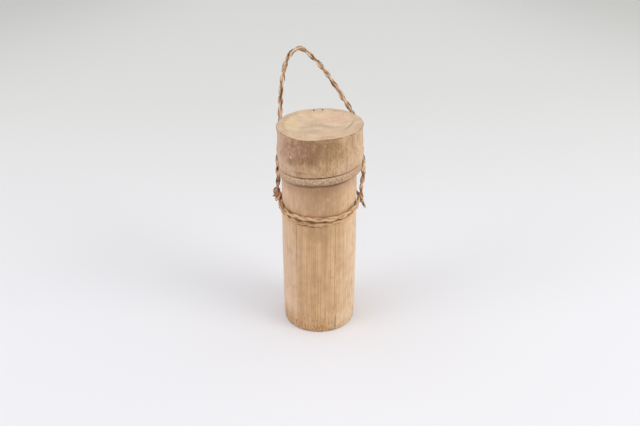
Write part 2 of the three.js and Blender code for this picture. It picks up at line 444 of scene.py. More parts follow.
pale_bark = bark_finish("pale_bark", "e0bc92", "c4996f", "8a6144")
ring_tones = (0.95, 0.8, 0.65, 0.35, 0.9, 0.7, 0.85, 0.5)
ring_route = [ring_point(degrees) for degrees in range(0, 541, 9)]
ring_route.insert(0, 2 * ring_route[0] - ring_route[1])
ring_route.append(2 * ring_route[-1] - ring_route[-2])
ring_line = smooth_route(ring_route, cord_step)
ring_degrees = np.linspace(-9, 549, len(ring_line))
ring_girth = level_at(ring_degrees, (
    (0, 0.5), (30, 0.95), (140, 1), (180, 0.6), (360, 0.8), (400, 1), (500, 1), (540, 0.65),
))
ring_shade = level_at(ring_degrees, (
    (0, -0.5), (25, -0.3), (45, 0), (140, 0), (175, -0.3), (300, 0),
    (365, 0.7), (390, 0.6), (400, 0.2), (430, -0.25), (480, -0.1), (540, 0.35),
))
ring_shape = joined([
    twisted_cord(ring_line, ring_thickness, ring_lay, 7, ring_tones, 0.6, ring_girth, ring_shade),
    split_ends(ring_line, cord_thickness, 14, 9),
])
ring = bark_piece("ring_cord", ring_shape, pale_bark)
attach(ring, "canister")
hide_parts("waist_ring")

# Left knot
# The cord's end, wrapped over the ring and its own foot and pulled down to a hard brown
# lump, with the cut end left standing out to the left.
brown_bark = bark_finish("brown_bark", "dcb294", "bc8052", "5c3622")
knot_middle = np.array((-0.0485, 0.0065, 0.1631))


def wraps(middle, turns, reach, height, thickness, slant, start, seed, tones, belly=0.0006):
    """A strand wound about an upright core, wider at its middle."""
    route = []
    for i in range(round(turns * 12) + 1):
        share = i / round(turns * 12)
        angle = start + 2 * math.pi * turns * share
        out = reach + belly * math.sin(math.pi * share)
        rise = height * (0.5 - share) + slant * math.sin(angle)
        route.append(middle + np.array((out * math.cos(angle), out * math.sin(angle), rise)))
    return bark_strand(route, thickness, seed, tones, ends=(0.6, 0.6))


def beside(middle, *corners):
    """Corners given from a middle in millimetres."""
    return [middle + np.array(corner) / 1000 for corner in corners]


def strands(middle, table):
    """A strand for each row: its thickness, seed, tones, the girth kept at its ends, corners."""
    return [
        bark_strand(beside(middle, *corners), thickness, seed, tones, ends)
        for thickness, seed, tones, ends, *corners in table
    ]


knot_shape = joined([
    bark_strand(
        beside(knot_middle, (0.7, -2.0, 6.6), (0.6, -4.0, 1.8), (0.9, -6.4, -4.0)),
        0.0076, 21, (0.75, 0.5, 0.6, 0.35, 0.75, 0.3), (0.6, 0.6), strips=6, lay=0.04, run=0.008,
    ),
    wraps(
        knot_middle + (0.0005, -0.0044, 0.0006), turns=1.3, reach=0.0026, height=0.0056,
        thickness=0.0026, slant=0.0012, start=2.2, seed=22, tones=(0.7, 0.35, 0.55, 0.2),
    ),
] + strands(knot_middle, (
    (0.003, 28, (0.5, 0.3, 0.6, 0.35), (0.6, 0.6),
     (-0.4, -5.0, 6.9), (2.1, -8.6, 6.0), (4.0, -10.4, 3.0), (4.0, -10.6, -0.8)),
    (0.0042, 30, (0.6, 0.4, 0.7, 0.45), (0.6, 0.6),
     (0.9, -6.2, 6.6), (1.0, -9.2, 3.4), (0.4, -9.8, 0.2), (-0.4, -9.2, -2.8)),
    (0.002, 23, (1.1, 1.0), (0.6, 0.5), (0.9, -3.4, 8.4), (-0.2, -6.4, 6.6), (-1.3, -8.4, 3.8)),
    (0.0032, 29, (0.65, 0.5, 0.75, 0.5), (0.6, 0.6),
     (0.3, -3.0, 8.0), (-1.7, -4.8, 5.8), (-2.5, -6.0, 2.2), (-2.1, -7.4, -1.4)),
    (0.0019, 24, (-0.2, -0.1), (0.5, 0.5),
     (-0.6, -3.6, 8.3), (-2.7, -4.6, 6.6), (-3.5, -5.0, 3.8), (-3.3, -5.6, 0.8)),
    (0.0032, 25, (1.2, 0.9, 1.1), (0.7, 0.5),
     (-1.8, -6.6, -5.3), (-0.3, -10.8, -3.9), (1.9, -12.8, -1.4), (3.6, -11.4, 2.0)),
    (0.0021, 26, (0.5, 0.25), (1, 0.8),
     (-2.2, -5.6, -1.0), (-3.7, -6.6, -1.4), (-4.6, -7.2, -1.6)),
    (0.0013, 27, (0.0, -0.1), (0.7, 0.7),
     (-2.0, -6.6, -6.0), (-1.0, -8.8, -6.6), (0.0, -9.4, -6.4)),
)))
knot = bark_piece("knot_wraps", knot_shape, brown_bark)
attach(knot, "canister")
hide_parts("left_knot")

# Right hitch
# The other end of the cord crosses the ring once and is pulled down to a half hitch. Its
# short cut end stands up against the tube.
hitch_bark = bark_finish("hitch_bark", "e0b888", "a97850", "4e2d20")
hitch_middle = np.array((0.0485, 0.0065, 0.1587))
hitch_shape = joined([
    bark_strand(
        beside(hitch_middle, (0, 0, 5.8), (0, -0.2, 0.6), (-0.6, -1.6, -5.0)),
        0.0044, 31, (0.6, 0.85, 0.35, 0.7, 0.1), (0.7, 0.5), strips=5, lay=0.03,
    ),
    wraps(
        hitch_middle + (-0.0002, -0.0012, 0.0006), turns=1.2, reach=0.0016, height=0.0036,
        thickness=0.0024, slant=0.0018, start=0.9, seed=32, tones=(0.9, 0.4, 0.75, 0.2),
    ),
] + strands(hitch_middle, (
    (0.0022, 33, (0.9, 0.6, 0.8), (0.6, 0.6),
     (-2.4, -3.0, 3.6), (-0.6, -4.4, 1.6), (1.4, -4.2, -1.4), (2.4, -3.0, -4.0)),
    (0.0024, 34, (-0.2, -0.3, -0.1), (1, 0.7),
     (-1.0, -4.0, -3.0), (-2.4, -4.6, 0.6), (-3.2, -4.6, 4.6)),
    (0.0026, 35, (0.2, 0.5, 0.0), (0.8, 0.6),
     (-0.6, -3.6, -0.6), (-1.0, -5.2, -3.0), (-1.8, -6.6, -5.4)),
)))
hitch = bark_piece("hitch_wraps", hitch_shape, hitch_bark)
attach(hitch, "canister")
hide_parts("right_hitch")

# Hitch tail
# The loose end under the hitch, dark with handling, which frays to a few pale fibres.
tail_bark = bark_finish("tail_bark", "c9a98c", "936f5c", "553b34")
tail_start = np.array((0.0506, 0.0053, 0.153))
tail_parts = [bark_strand(
    beside(tail_start, (-1.8, -1.6, 2.2), (0.2, -2.0, -2.6), (2.5, -3.2, -6.4)),
    0.0034, 41, (0.9, 0.5, 1.0, 0.4), ends=(1, 0.75),
)]
for i in range(5):
    lean = 0.5 * (i - 2)
    tail_parts.append(bark_strand(
        beside(
            tail_start, (1.6 + lean / 2, -2.6, -5.0), (2.4 + lean, -3.2, -6.8),
            (3.0 + 1.6 * lean, -3.8, -8.4 - 0.5 * (i % 2)),
        ),
        0.0008, 42 + i, (1.1,), ends=(1, 0.2), strips=1,
    ))
tail = bark_piece("tail_fibres", joined(tail_parts), tail_bark)
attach(tail, "canister")
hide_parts("hitch_tail")

# Tube
# One length of bamboo, cut just under a node, whose wall closes it as a floor. Its skin is
# scraped off below the ring, so that the fibres and its drying cracks show.
tube_height = 0.2415
tube_radius = culm_radius
foot_radius = 0.043
neck_radius = 0.043
bore_radius = 0.0346
cut_edge = 0.0008
floor_top = 0.0078
foot_recess = 0.0036
lid_slant = 0.09


def turned_shell(profile, columns, shape):
    """Points, darkness of cracks and painted shade, and faces of a profile turned about the
    upright axis.

    Each row of the profile is a radius, a height and the finish of the faces above it."""
    columns = sorted(columns)
    count = len(columns)
    starts, points, dark_marks, faces, finishes = [], [], [], [], []
    for radius, height, finish in profile:
        starts.append(len(points))
        for angle in columns[:1] if radius == 0 else columns:
            point, cut = shape(radius, angle, height)
            points.append(point)
            dark_marks.append(cut)
    for low, high, below, above in zip(starts, starts[1:], profile, profile[1:]):
        for j in range(count):
            k = (j + 1) % count
            if below[0] == 0:
                faces.append((low, high + k, high + j))
            elif above[0] == 0:
                faces.append((low + j, low + k, high))
            else:
                faces.append((low + j, low + k, high + k, high + j))
            finishes.append(below[2])
    return points, dark_marks, faces, finishes


def bamboo_piece(name, shell, materials):
    """A bamboo piece with crisp cut edges, its cracks, and on the tube the painted shade along
    the ring, marked for the finish.
    """
    points, dark_marks, faces, finishes = shell
    mesh = bpy.data.meshes.new(name)
    mesh.from_pydata(points, [], faces)
    for material in materials:
        mesh.materials.append(material)
    mesh.polygons.foreach_set("material_index", finishes)
    # the crack mark holds crack darkness, and on the tube also the painted shade along the ring
    crack = mesh.attributes.new("crack", "FLOAT", "POINT")
    crack.data.foreach_set("value", dark_marks)
    mesh.shade_smooth()
    mesh.set_sharp_from_angle(angle=math.radians(40))
    return placed(name, mesh)


def rows(start, end, step, finish):
    """Profile rows from start towards end, without end itself."""
    count = max(1, round(math.dist(start, end) / step))
    across, upward = end[0] - start[0], end[1] - start[1]
    return [
        (start[0] + across * i / count, start[1] + upward * i / count, finish)
        for i in range(count)
    ]


skin, cut_face, inner_face = 0, 1, 2
ring_zone = (0.1425, 0.169)
ring_zone_step = 0.0007
plain_step = 0.0025
tube_corners = [
    (0, foot_recess, inner_face), (0.0282, foot_recess, inner_face), (0.033, 0.0018, inner_face),
    (bore_radius, 0, cut_face), (foot_radius - cut_edge, 0, cut_face),
    (foot_radius - 0.0002, 0.0003, skin), (foot_radius, cut_edge, skin), (0.0433, 0.008, skin),
    (tube_radius, 0.024, skin), (tube_radius, 0.128, skin), (0.04345, ring_zone[0], skin),
    (0.0433, 0.157, skin), (0.04317, 0.1695, skin), (neck_radius, 0.186, skin),
    (neck_radius, tube_height - cut_edge, cut_face),
    (neck_radius - cut_edge, tube_height, cut_face),
    (bore_radius + cut_edge, tube_height, cut_face),
    (bore_radius, tube_height - cut_edge, inner_face),
    (bore_radius, floor_top + 0.0032, inner_face), (0.0335, floor_top + 0.0011, inner_face),
    (0.0314, floor_top, inner_face), (0, floor_top, inner_face),
]
tube_profile = []
for start, end in zip(tube_corners, tube_corners[1:]):
    by_ring = ring_zone[0] <= start[1] < ring_zone[1] and start[2] == skin
    tube_profile += rows(start[:2], end[:2], ring_zone_step if by_ring else plain_step, start[2])
tube_profile.append(tube_corners[-1])

# angle from the front, lowest and highest place, depth
tube_cracks = [
    (-36, 0.075, 0.15, 0.0002), (24.9, 0.085, 0.15, 0.00015),
    (26.2, -0.012, 0.026, 0.0006),
]
crack_half_width = 0.7
crack_run_out = 0.012
deepest_crack = 0.0006
shade_line_half_width = 0.0008
chip_angle = -46.7
chip_lift = 0.0022
# a height, and how much slimmer the tube is there at its two sides
tube_trims = (
    (0, 0.001), (0.012, 0.0009), (0.03, 0.0005), (0.06, 0.0004), (0.09, 0.0001), (0.12, 0.0002),
)


def crack_depth(angle, height, cracks):
    """How far a drying crack cuts in at a place on the skin."""
    deepest = 0
    for at, low, high, depth in cracks:
        wander = 0.15 * math.sin(height * 90 + at) + 0.06 * math.sin(height * 430)
        off = abs((angle - at - wander + 180) % 360 - 180)
        if off < crack_half_width and low < height < high:
            ends = min(1, (height - low) / crack_run_out, (high - height) / crack_run_out)
            deepest = max(deepest, depth * (1 - off / crack_half_width) * max(ends, 0.15))
    return deepest


def chip(angle, height):
    """How far a chip in the foot's edge lifts it."""
    off = abs(angle - chip_angle) / 2.2
    return chip_lift * max(0, 1 - off) * max(0, 1 - height / 0.003)


def ring_edge_shade(angle, height):
    """How dark the painted shade is that lies along the upper and lower edge of the ring."""
    place = (angle + 90) % 360
    passes = [ring_point(place)[2]]
    if place <= 180:
        passes.append(ring_point(place + 360)[2])
    above = (height - max(passes) - 0.0015) / shade_line_half_width
    below = (height - min(passes) + 0.0041) / shade_line_half_width
    patchiness = 0.5 + 0.3 * math.sin(0.11 * angle) + 0.2 * math.sin(0.27 * angle + 1)
    to_left = 1 + 0.7 * ease(-angle, -15, 25)
    upper_line = 0.26 * patchiness * math.exp(-above * above)
    lower_line = 0.32 * to_left * (1.2 - patchiness) * math.exp(-below * below)
    return upper_line + lower_line


def on_skin(angle, radius, height):
    """The point at an angle from the front, in degrees, a radius and a height."""
    turn = math.radians(angle)
    return radius * math.sin(turn), -radius * math.cos(turn), height


def tube_skin(radius, angle, height):
    """Bends a place on the plain tube to the grown one."""
    turn = math.radians(angle)
    cut = 0
    if radius > 0.04:
        radius += 0.00016 * math.cos(2 * turn + 0.7) + 0.00008 * math.cos(3 * turn + 2)
        radius += 0.00004 * math.sin(23 * turn + 9 * height)
        radius += 0.00003 * math.sin(41 * turn - 14 * height)
        radius -= (0.5 - 0.5 * math.cos(2 * turn)) * level_at(height, tube_trims)
        cut = crack_depth(angle, height, tube_cracks)
        radius -= cut + 0.4 * chip(angle, height)
        height += chip(angle, height)
    dark = cut / deepest_crack
    # painted shade along the ring's edges, carried with the darkness of the cracks
    if 0.14 < height < 0.172:
        dark = max(dark, ring_edge_shade(angle, height))
    return on_skin(angle, radius, height), dark


tube_columns = {i * 1.5 - 180 for i in range(240)}
for crack in tube_cracks:
    tube_columns |= {crack[0] + 0.2 * step for step in range(-7, 8)}


def distance(tree, place, centre, reach):
    """How far a place is from a centre, as a share of the reach along each axis."""
    away = put(tree, "VectorMath", {0: place, 1: centre}, operation="SUBTRACT").outputs[0]
    scaled = put(tree, "VectorMath", {0: away, 1: reach}, operation="DIVIDE").outputs[0]
    return put(tree, "VectorMath", {0: scaled}, operation="LENGTH").outputs["Value"]


def stain(tree, place, centre, reach, ragged, soft=0.6):
    """1 in the middle of a stain and 0 outside it, with a ragged edge."""
    worn = plus(tree, distance(tree, place, centre, reach), swing(tree, ragged, 1.6))
    return stretch(tree, worn, 1 + soft / 2, 1 - soft)


def stained(tree, place, colour, ragged, radius, marks):
    """A colour with stains laid on it.

    Each is an angle from the front, a height, a width, a length, a strength and a paint."""
    for angle, at, wide, tall, strength, code in marks:
        spot = stain(tree, place, on_skin(angle, radius, at), (wide, wide, tall), ragged, 0.9)
        colour = tint(tree, times(tree, spot, strength), colour, paint(code))
    return colour


def cut_finish(name, light, dark):
    """Bamboo cut across: pale wood dotted with the ends of its fibres."""
    material, tree, shader = new_finish(name, 0.8)
    place = put(tree, "TexCoord").outputs["Object"]
    sized = put(tree, "Mapping", {"Vector": place, "Scale": (900, 900, 400)}).outputs[0]
    dots = put(tree, "TexVoronoi", {"Vector": sized, "Scale": 1.0}).outputs["Distance"]
    tone = grain(tree, place, (90, 90, 90), 4)
    crumbs = grain(tree, place, (1300, 1300, 1300), 3, shift=4)
    colour = coats(tree, paint(dark), (
        (tone, 0.35, 0.65, 1, light),
        (dots, 0.3, 0.1, 0.4, dark),
        (crumbs, 0.45, 0.3, 0.5, "9c7c5c"),
        (mark(tree, "crack"), 0.15, 0.9, 1, "4a3422"),
    ))
    dress(tree, shader, colour, plus(tree, dots, crumbs), 0.0002)
    return material


def inner_finish(name, light, dark):
    """The smooth inner wall of bamboo, pale and faintly streaked."""
    material, tree, shader = new_finish(name, 0.6)
    place = put(tree, "TexCoord").outputs["Object"]
    streaks = grain(tree, place, (500, 500, 14), 3)
    tone = grain(tree, place, (50, 50, 30), 2, shift=6)
    colour = coats(tree, paint(dark), (
        (streaks, 0.35, 0.6, 1, light), (tone, 0.5, 0.7, 0.5, dark),
    ))
    dress(tree, shader, colour, streaks, 0.0001)
    return material


tube_finish, tree, shader = new_finish("scraped_bamboo", 0.5)
place = put(tree, "TexCoord").outputs["Object"]
axes = put(tree, "SeparateXYZ", {0: place}).outputs
ragged = grain(tree, place, (120, 120, 50), 4, shift=9)
lines = grain(tree, place, (900, 900, 4), 2)
fine = grain(tree, place, (1800, 1800, 14), 3, shift=5)
dashes = grain(tree, place, (560, 560, 110), 3, shift=3)
tone = grain(tree, place, (110, 110, 8), 3, shift=2)
mottle = grain(tree, place, (130, 130, 100), 6, shift=11)
scraped = stretch(tree, axes["Z"], 0.154, 0.147)
smooth = stretch(tree, axes["Z"], 0.147, 0.154)
slant = calc(tree, "SUBTRACT", axes["Z"], times(tree, axes["X"], lid_slant))
under_lid = plus(tree, slant, swing(tree, ragged, 0.002))
colour = laid(tree, paint("c2996d"), tone, 0.35, 0.65, 1, "d3ac7e")
colour = tint(tree, times(tree, smooth, 0.6), colour, paint("c9a585"))
colour = stained(tree, place, colour, ragged, tube_radius, (
    (0, 0.134, 0.017, 0.012, 0.6, "a9845c"),
    (5, 0.106, 0.01, 0.02, 0.3, "b28a5f"),
    (4, 0.07, 0.009, 0.022, 0.35, "b0875c"),
    (-12, 0.076, 0.006, 0.014, 0.3, "b38b64"),
    # the next four, paler towards both sides, are painted sheen of the side lamps
    (-55, 0.075, 0.022, 0.07, 0.6, "d3ae90"),
    (-75, 0.09, 0.026, 0.11, 0.6, "dbbda2"),
    (50, 0.075, 0.024, 0.09, 0.6, "e1be96"),
    (76, 0.08, 0.026, 0.12, 0.7, "e4c8a6"),
    (chip_angle, 0.0012, 0.0016, 0.0012, 0.8, "4a3524"),
    (4, 0.189, 0.036, 0.02, 0.8, "9d7650"),
    (8, 0.168, 0.022, 0.012, 0.6, "a7825a"),
    (-38, 0.18, 0.018, 0.018, 0.5, "c99d80"),
    (44, 0.17, 0.018, 0.026, 0.5, "d6b085"),
    (-78, 0.172, 0.02, 0.026, 0.5, "d3ac92"),
))
colour = laid(tree, colour, under_lid, 0.1965, 0.2, 0.8, "d9b88e")
# blotches, bloom, dark lines, hairs and nicks, each stronger in one zone of the skin
for noise, low, high, zone, least, most, code in (
    (mottle, 0.52, 0.36, smooth, 0.24, 0.32, "a37c58"),
    (mottle, 0.52, 0.68, smooth, 0.25, 0.32, "dcb899"),
    (lines, 0.52, 0.36, scraped, 0.12, 0.32, "a0764a"),
    (fine, 0.47, 0.34, scraped, 0.4, 0.42, "8f663f"),
    (dashes, 0.36, 0.28, scraped, 0.15, 0.6, "7e5733"),
):
    share = times(tree, stretch(tree, noise, low, high), stretch(tree, zone, 0, 1, least, most))
    colour = tint(tree, share, colour, paint(code))
foot = calc(tree, "SUBTRACT", axes["Z"], swing(tree, dashes, 0.03))
colour = laid(tree, colour, foot, 0.019, 0.004, 0.25, "c69966")
flecks = grain(tree, place, (700, 700, 200), 3, shift=13)
low_flecks = calc(tree, "SUBTRACT", flecks, times(tree, axes["Z"], 6))
colour = laid(tree, colour, low_flecks, 0.45, 0.51, 0.65, "93602f")
colour = stained(tree, place, colour, ragged, tube_radius, (
    (50, 0.01, 0.024, 0.02, 0.4, "e9d0ae"),
    (-60, 0.034, 0.02, 0.016, 0.3, "e2c4a4"),
    (-66, 0.012, 0.014, 0.012, 0.35, "b07d4e"),
))
# painted contact shadow along the foot's lowest edge
colour = laid(tree, colour, axes["Z"], 0.0013, 0.0002, 0.75, "5a4632")
# painted shade on the tube below the lid, fading downwards
under_lid_shade = stretch(tree, under_lid, 0.178, 0.1953, 0, 0.35)
under_lid_shade = times(tree, under_lid_shade, stretch(tree, under_lid, 0.199, 0.196))
colour = tint(tree, under_lid_shade, colour, paint("8a6442"))
# painted shadow of the lid's edge: a dark line on the tube just under it, stronger to the right
to_right = stretch(tree, axes["X"], -0.005, 0.02)
under_edge = plus(tree, under_lid, times(tree, to_right, 0.0016))
lid_edge_shadow = stretch(tree, under_edge, 0.1918, 0.195)
lid_edge_shadow = times(tree, lid_edge_shadow, stretch(tree, under_edge, 0.2006, 0.1976))
lid_edge_shadow = times(tree, lid_edge_shadow, stretch(tree, to_right, 0, 1, 0.75, 1))
colour = tint(tree, lid_edge_shadow, colour, paint("67482d"))
# darkens the cracks, and lays the painted shade along the ring's edges from the same mark
colour = laid(tree, colour, mark(tree, "crack"), 0.02, 0.4, 0.9, "5f4128")
dress(tree, shader, colour, times(tree, plus(tree, lines, fine), scraped), 0.0002)

cut_bamboo = cut_finish("cut_bamboo", "d8b58e", "b08a62")
inner_bamboo = inner_finish("inner_bamboo", "dcc09a", "bd9a70")
tube_shell = turned_shell(tube_profile, tube_columns, tube_skin)
tube = bamboo_piece("culm_tube", tube_shell, (tube_finish, cut_bamboo, inner_bamboo))
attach(tube, "canister")
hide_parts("tube")

# Lid
# A short length of a wider bamboo, turned upside down. Its node's wall is the dished top,
# and the cut through the next node leaves the swollen collar at its lower edge.
lid_bore = 0.04345
lid_side = 0.0479
lid_belly = 0.0013
lid_edge = 0.1953
lid_groove = 0.2061
lid_ceiling = 0.2418
lid_top = 0.2505
lid_dish_radius = 0.0384
lid_dish_depth = 0.0045
lid_rim_height = 0.003
lid_skin_end = 0.0012
lid_off_centre = 0.0005
collar_lip = 0.00135
collar_swell = 0.0034
groove_depth = 0.0016
collar_face, dish_face = 3, 4

lid_profile = rows((0, lid_ceiling), (lid_bore, lid_ceiling), 0.004, inner_face)
lid_profile += rows((lid_bore, lid_ceiling), (lid_bore, lid_edge + cut_edge), 0.003, inner_face)
lid_profile += [
    (lid_bore, lid_edge + cut_edge, collar_face), (lid_bore + cut_edge, lid_edge, collar_face),
]
collar_rise = lid_groove - 0.0014 - lid_edge
for i in range(17):
    angle = i * math.pi / 32
    out = lid_bore + collar_lip + collar_swell * math.sin(angle)
    lid_profile.append((out, lid_edge + collar_rise * (1 - math.cos(angle)), collar_face))
lid_profile += [
    (lid_side - 0.0002, lid_groove - 0.001, collar_face),
    (lid_side - groove_depth, lid_groove - 0.0005, skin),
    (lid_side - groove_depth, lid_groove + 0.0002, skin),
]
belly_start = lid_groove + 0.0007
belly_rise = 0.65 * (lid_top - lid_groove)
belly_end = 1.12
for i in range(21):
    share = belly_end * i / 20
    if share < 0.5:
        swell = 4 * share * (1 - share)
    else:
        swell = (1 + math.cos(math.pi * (share - 0.5) / (belly_end - 0.5))) / 2
    lid_profile.append((lid_side + lid_belly * swell, belly_start + belly_rise * share, skin))
belly_top, rim_start = belly_start + belly_end * belly_rise, lid_top - cut_edge
lid_profile += rows((lid_side, belly_top), (lid_side, rim_start), 0.0018, skin)[1:]
for i in range(5):
    angle = i * math.pi / 8
    out = lid_side - cut_edge * (1 - math.cos(angle))
    rise = lid_top - cut_edge * (1 - math.sin(angle))
    lid_profile.append((out, rise, cut_face if i > 2 else skin))
rim_out, rim_in = (lid_side - cut_edge, lid_top), (lid_dish_radius, lid_top)
lid_profile += rows(rim_out, rim_in, 0.0012, cut_face)[1:]
for i in range(33):
    share = 1 - i / 32
    drop = lid_dish_depth * (1 - share ** 5)
    lid_profile.append((lid_dish_radius * share, lid_top - drop, dish_face))


def lid_slope(height):
    share = (height - lid_edge) / (lid_top - lid_edge)
    return lid_slant - 0.06 * share


def bell(angle, middle, width):
    """1 at the middle angle, falling smoothly to nothing beyond the width."""
    off = ((angle - middle + 180) % 360 - 180) / width
    return math.exp(-2 * off * off)


rim_cracks = (-171.2, 175.1)
# a height, and how far the lid's left side is pinched in there
left_pinch = (
    (0.1953, 0.0004), (0.2, 0.0018), (0.2106, 0.002), (0.221, 0.0012), (0.233, 0.0011),
    (0.244, 0.0008), (0.25, 0),
)
# a height, and how much fuller the lid's right side is there
right_swell = (
    (0.2065, 0), (0.2068, 0.0008), (0.2105, 0.0006), (0.2135, 0), (0.217, -0.0006),
    (0.221, -0.0006), (0.23, 0),
)


def lid_skin(radius, angle, height):
    """Bends a place on the plain lid to the grown and cut one."""
    turn = math.radians(angle)
    inside = radius <= lid_bore + 1e-6 and height < lid_ceiling + 1e-6
    cut = 0
    if inside:
        x, y = radius * math.sin(turn), -radius * math.cos(turn)
        slope = lid_slope(lid_edge) if height < lid_ceiling - 0.03 else 0
        return (x, y, height + slope * x), 0
    if height > lid_top - lid_rim_height and radius > lid_dish_radius - 0.001:
        rim_line = 0.0006 * bell(angle, 22, 26) - 0.0008 * bell(angle, -24, 22)
        rim_line += 0.00015 * math.sin(5 * turn + 1) + 0.0001 * math.sin(11 * turn)
        height += rim_line
        for at in rim_cracks:
            open_crack = max(0, 1 - abs((angle - at + 180) % 360 - 180) / 1.2)
            if radius > lid_side - 0.008:
                height -= 0.0008 * open_crack
                cut = max(cut, 1.6 * open_crack)
        skin_edge = (radius - lid_side + 0.0028) / 0.0016
        if height > lid_top - lid_skin_end and skin_edge > 0:
            cut = max(cut, 0.34 * min(skin_edge, 1) * (1 - 0.8 * bell(angle, 0, 110)))
    if lid_edge <= height < lid_groove - 0.0009 and radius > lid_bore + 0.001:
        radius += (lid_side - radius) * 0.9 * bell(angle, 80, 55)
        radius += 0.0001 * math.sin(31 * turn + 900 * height)
        radius += 0.00008 * math.sin(67 * turn - 1500 * height)
    if abs(height - lid_groove) < 0.00055:
        broken = 0.65 + 0.5 * math.sin(19 * turn + 1) * math.sin(47 * turn)
        open_crack = 0.8 * bell(angle, 0, 38) * broken
        radius -= 0.0012 * open_crack
        height += 0.9 * open_crack * (height - lid_groove)
        cut = 0.4 + open_crack
    if lid_groove + 0.001 < height < lid_top - 0.001:
        radius += 0.00015 * math.cos(2 * turn + 2.1) + 0.0001 * math.cos(3 * turn)
        radius += 0.00004 * math.sin(29 * turn + 12 * height)
        radius += 0.00003 * math.sin(53 * turn - 9 * height)
    if height > lid_top - lid_skin_end and radius > lid_side - 0.0006:
        cut = max(cut, 0.3 + 0.12 * math.sin(17 * turn) + 0.1 * math.sin(41 * turn + 1))
    if radius > lid_bore + 0.001:
        pinch = level_at(height, left_pinch) * bell(angle, -90, 50)
        radius -= pinch * min(1, (radius - lid_bore) / 0.004)
        radius += level_at(height, right_swell) * bell(angle, 90, 45)
        if height > lid_top - lid_rim_height:
            outward = (radius - lid_dish_radius) / (lid_side - lid_dish_radius)
            radius += 0.0006 * bell(angle, 90, 40) * outward
    x, y = radius * math.sin(turn) + lid_off_centre, -radius * math.cos(turn)
    return (x, y, height + lid_slope(height) * x), cut


lid_columns = {i * 1.25 - 180 for i in range(288)}
for at in rim_cracks:
    lid_columns |= {at + 0.3 * step for step in range(-5, 6)}

lid_finish, tree, shader = new_finish("handled_bamboo", 0.55)
place = put(tree, "TexCoord").outputs["Object"]
axes = put(tree, "SeparateXYZ", {0: place}).outputs
ragged = grain(tree, place, (150, 150, 110), 5, shift=9)
lines = grain(tree, place, (950, 950, 12), 2)
fine = grain(tree, place, (1800, 1800, 60), 3, shift=5)
flecks = grain(tree, place, (700, 700, 240), 3, shift=3)
tone = grain(tree, place, (90, 90, 40), 3, shift=2)
mottle = grain(tree, place, (300, 300, 260), 5, shift=11)
colour = laid(tree, paint("b89169"), tone, 0.35, 0.65, 1, "cca881")
colour = stained(tree, place, colour, ragged, lid_side, (
    # the next two, paler at both sides, are painted sheen of the side lamps
    (-70, 0.225, 0.02, 0.034, 0.7, "d1ae96"),
    (72, 0.222, 0.022, 0.036, 0.7, "ddbc98"),
    (-48, 0.212, 0.018, 0.009, 0.6, "d0b197"),
    (42, 0.214, 0.02, 0.012, 0.6, "d4b694"),
    (2, 0.2105, 0.022, 0.007, 0.4, "c39d74"),
    (-2, 0.242, 0.024, 0.018, 0.8, "8a623b"),
    (-18, 0.24, 0.016, 0.018, 0.6, "8a6140"),
    (16, 0.237, 0.016, 0.012, 0.45, "9a7c4c"),
    (-42, 0.236, 0.02, 0.016, 0.75, "9c705a"),
    (-20, 0.226, 0.012, 0.006, 0.7, "7f5735"),
    (-4, 0.23, 0.008, 0.012, 0.55, "865d3a"),
    (-38, 0.222, 0.005, 0.005, 0.7, "7f5a38"),
    (-26, 0.211, 0.011, 0.0012, 0.7, "8a6544"),
    (16, 0.2464, 0.01, 0.0005, 0.7, "7a5936"),
    (19, 0.244, 0.009, 0.0005, 0.6, "7a5936"),
    (21, 0.2415, 0.008, 0.0004, 0.6, "7a5936"),
    (57, 0.2105, 0.004, 0.0006, 0.7, "8a6540"),
    (61, 0.2085, 0.0005, 0.003, 0.7, "8a6540"),
    (57, 0.2065, 0.004, 0.0006, 0.7, "8a6540"),
))
colour = coats(tree, colour, (
    (mottle, 0.55, 0.68, 0.4, "d2aa88"),
    (mottle, 0.45, 0.32, 0.45, "87603f"),
    (lines, 0.52, 0.36, 0.42, "86613c"),
    (fine, 0.47, 0.33, 0.48, "755232"),
    (flecks, 0.42, 0.32, 0.4, "6d4b2d"),
))
upper_left = stain(tree, place, on_skin(-40, lid_side, 0.236), (0.022, 0.022, 0.016), ragged)
dust = times(tree, stretch(tree, mottle, 0.48, 0.62), stretch(tree, upper_left, 0, 1, 0, 0.4))
colour = tint(tree, dust, colour, paint("c6957c"))
colour = stained(tree, place, colour, ragged, lid_side, (
    (-39, 0.2268, 0.0013, 0.0013, 0.85, "e6c8b0"),
))
colour = laid(tree, colour, mark(tree, "crack"), 0.1, 0.9, 1, "3f2a18")
dress(tree, shader, colour, plus(tree, lines, fine), 0.0002)

collar_finish, tree, shader = new_finish("cut_node", 0.85)
place = put(tree, "TexCoord").outputs["Object"]
axes = put(tree, "SeparateXYZ", {0: place}).outputs
layers = grain(tree, place, (200, 200, 900), 4)
crumbs = grain(tree, place, (620, 620, 700), 4, shift=4)
above_edge = calc(tree, "SUBTRACT", axes["Z"], times(tree, axes["X"], lid_slant))
to_right = stretch(tree, axes["X"], -0.005, 0.02)
near_edge = plus(tree, above_edge, times(tree, to_right, 0.0022))
from_middle = calc(tree, "ABSOLUTE", axes["X"])
colour = coats(tree, paint("9f7f60"), (
    (crumbs, 0.38, 0.64, 1, "d4b291"),
    (crumbs, 0.42, 0.32, 0.75, "755539"),
    (layers, 0.46, 0.34, 0.6, "8a6848"),
    (above_edge, 0.201, 0.205, 0.25, "e6cbb0"),
    # painted shade on the collar's underside, darkest at its lower edge
    (near_edge, 0.2005, 0.1955, 0.8, "6b4c30"),
    (from_middle, 0.02, 0.042, 0.5, "c09a78"),
    (mark(tree, "crack"), 0.1, 0.9, 1, "3f2a18"),
))
dress(tree, shader, colour, plus(tree, layers, crumbs), 0.0006)


def band(tree, value, low, high, soft):
    """1 where a value lies between low and high."""
    above = stretch(tree, value, low - soft, low + soft)
    return times(tree, above, stretch(tree, value, high + soft, high - soft))


